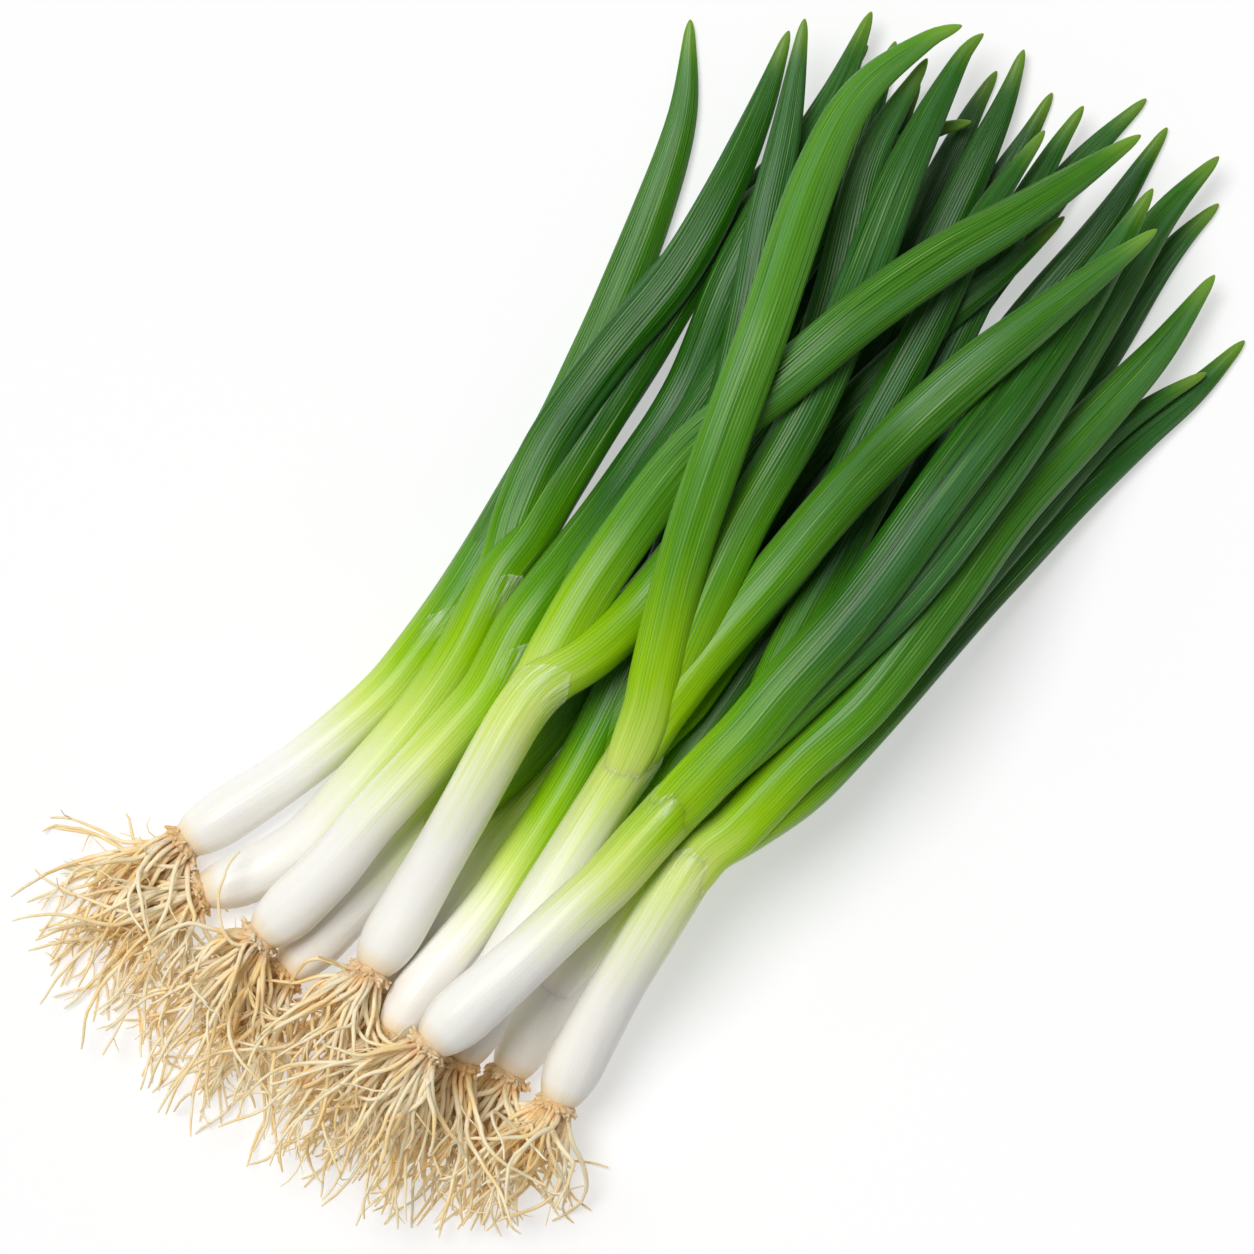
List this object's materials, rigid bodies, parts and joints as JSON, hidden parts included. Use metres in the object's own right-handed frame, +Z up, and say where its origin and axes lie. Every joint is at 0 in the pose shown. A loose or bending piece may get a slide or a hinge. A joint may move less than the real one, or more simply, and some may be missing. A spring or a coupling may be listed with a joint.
{
  "type": "spring onion bunch",
  "caption": "Bunch of spring onions with white shanks, long tubular green leaves and fibrous root tufts, lying loosely crossed on a surface.",
  "frame": {"origin": "on the surface the bunch lies on, under the middle of its bounding box", "axes": "+X along the bunch from the roots to the leaf tips, +Z up from the surface"},
  "size_m": [0.3538, 0.1696, 0.057],
  "materials": {
    "stem_and_leaf": "waxy plant skin, white at the root end and deep green in the leaves",
    "root": "dry fibrous root"
  },
  "bodies": {
    "root": {"onion_01": "stem_and_leaf", "onion_01_roots": "root", "onion_02": "stem_and_leaf", "onion_02_roots": "root", "onion_03": "stem_and_leaf", "onion_03_roots": "root", "onion_04": "stem_and_leaf", "onion_04_roots": "root", "onion_05": "stem_and_leaf", "onion_05_roots": "root", "onion_06": "stem_and_leaf", "onion_06_roots": "root", "onion_07": "stem_and_leaf", "onion_07_roots": "root", "onion_08": "stem_and_leaf", "onion_08_roots": "root", "onion_09": "stem_and_leaf", "onion_09_roots": "root", "onion_10": "stem_and_leaf", "onion_10_roots": "root", "onion_11": "stem_and_leaf", "onion_11_roots": "root"}
  },
  "joints": []
}
